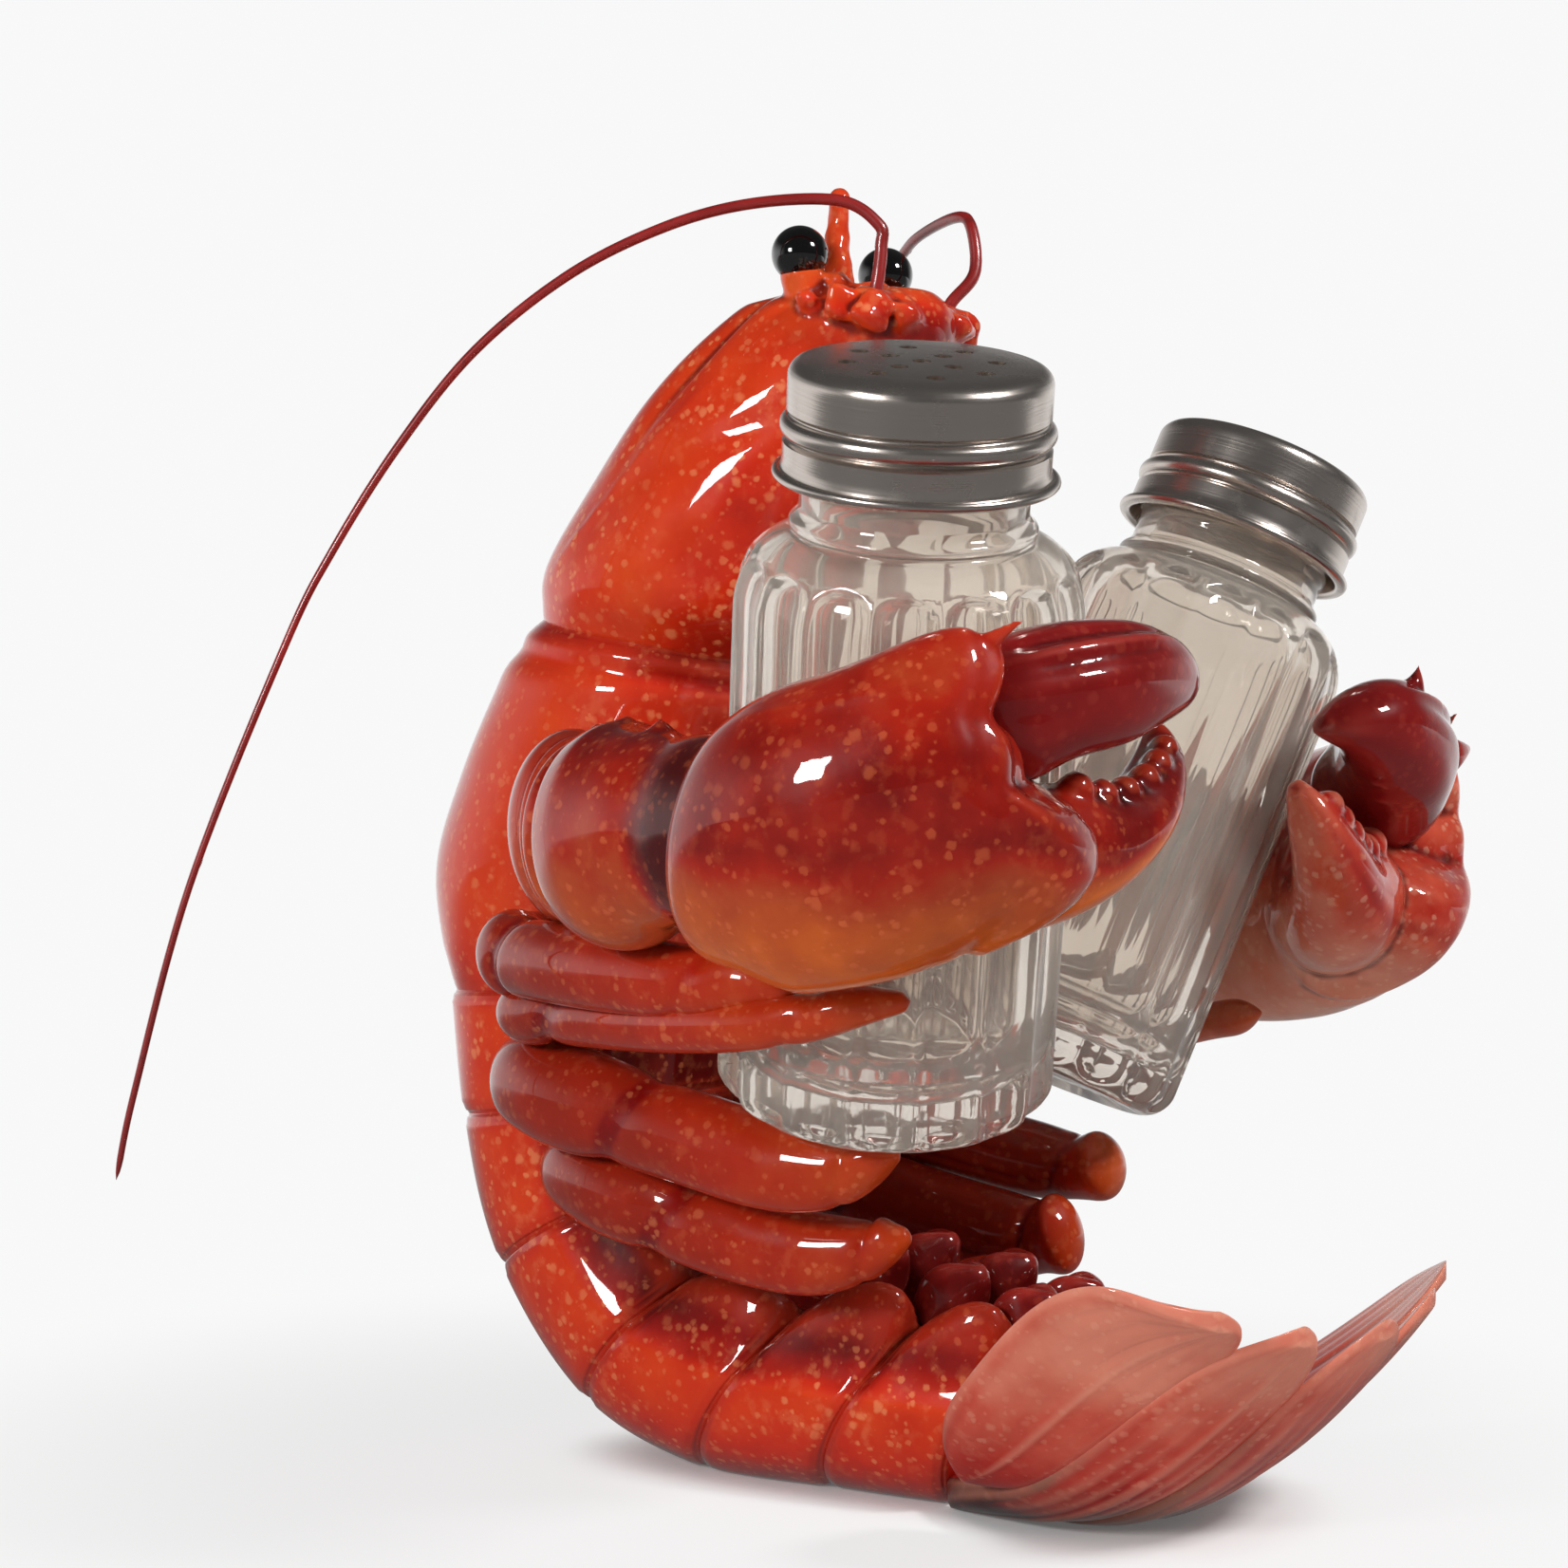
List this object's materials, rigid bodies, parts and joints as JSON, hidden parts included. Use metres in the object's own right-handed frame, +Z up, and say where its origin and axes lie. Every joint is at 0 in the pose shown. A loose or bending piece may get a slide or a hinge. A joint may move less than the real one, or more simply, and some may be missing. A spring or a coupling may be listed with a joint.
{
  "type": "salt and pepper shaker holder",
  "caption": "Resin lobster figurine sitting on its curled tail, with a glass salt shaker and pepper shaker in its claws; the jars lift out and their perforated steel caps turn.",
  "frame": {"origin": "on the flat underside of the curled tail, in the lobster's middle plane", "axes": "+Z up; the lobster faces -Y and its right side is -X"},
  "size_m": [0.1514, 0.1426, 0.1631],
  "materials": {
    "orange_red_resin": "cast resin, painted orange-red with paler flecks, gloss lacquer",
    "dark_red_resin": "cast resin, painted dark red fading to orange, gloss lacquer",
    "orange_resin": "cast resin, painted orange, gloss lacquer",
    "pink_resin": "cast resin, painted salmon pink, satin lacquer",
    "maroon_resin": "cast resin, painted maroon, gloss lacquer",
    "black_bead": "polished black",
    "painted_wire": "dark red paint on bent wire",
    "clear_glass": "clear pressed glass",
    "spun_steel": "spun stainless steel"
  },
  "bodies": {
    "lobster": {"eye_right": "black_bead", "eye_left": "black_bead", "carapace_front": "orange_red_resin", "carapace_rear": "orange_red_resin", "feeler_right": "painted_wire", "feeler_left": "painted_wire", "tail_segment_1": "orange_red_resin", "tail_segment_2": "orange_red_resin", "tail_segment_3": "orange_red_resin", "tail_segment_4": "orange_red_resin", "tail_segment_5": "orange_red_resin", "tail_segment_6": "orange_red_resin", "arm_right": "dark_red_resin", "arm_left": "dark_red_resin", "wrist_right": "dark_red_resin", "wrist_left": "dark_red_resin", "claw_palm_right": "dark_red_resin", "claw_palm_left": "dark_red_resin", "claw_finger_right": "dark_red_resin", "claw_finger_left": "dark_red_resin", "leg_right_1": "orange_resin", "leg_right_2": "orange_resin", "leg_right_3": "orange_resin", "leg_right_4": "orange_resin", "leg_left_1": "orange_resin", "leg_left_2": "orange_resin", "leg_left_3": "orange_resin", "leg_left_4": "orange_resin", "swimmeret_right_1": "maroon_resin", "swimmeret_right_2": "maroon_resin", "swimmeret_right_3": "maroon_resin", "swimmeret_left_1": "maroon_resin", "swimmeret_left_2": "maroon_resin", "swimmeret_left_3": "maroon_resin", "telson": "pink_resin", "inner_blade_right": "pink_resin", "inner_blade_left": "pink_resin", "outer_blade_right": "pink_resin", "outer_blade_left": "pink_resin"},
    "right_shaker": {"jar_right": "clear_glass"},
    "right_cap": {"cap_right": "spun_steel"},
    "left_shaker": {"jar_left": "clear_glass"},
    "left_cap": {"cap_left": "spun_steel"}
  },
  "joints": [
    {"name": "right_shaker_lift", "type": "slide", "parent": "lobster", "child": "right_shaker", "axis": [-0.246, -0.218, 0.9444], "range_m": [0, 0.09]},
    {"name": "right_cap_turn", "type": "hinge", "parent": "right_shaker", "child": "right_cap", "pos_m": [-0.04048, -0.04644, 0.12715], "axis": [-0.246, -0.218, 0.9444], "range_deg": [0, 450]},
    {"name": "left_shaker_lift", "type": "slide", "parent": "lobster", "child": "left_shaker", "axis": [0.3101, -0.2541, 0.9161], "range_m": [0, 0.09]},
    {"name": "left_cap_turn", "type": "hinge", "parent": "left_shaker", "child": "left_cap", "pos_m": [0.04571, -0.04353, 0.12439], "axis": [0.3101, -0.2541, 0.9161], "range_deg": [0, 450]}
  ]
}
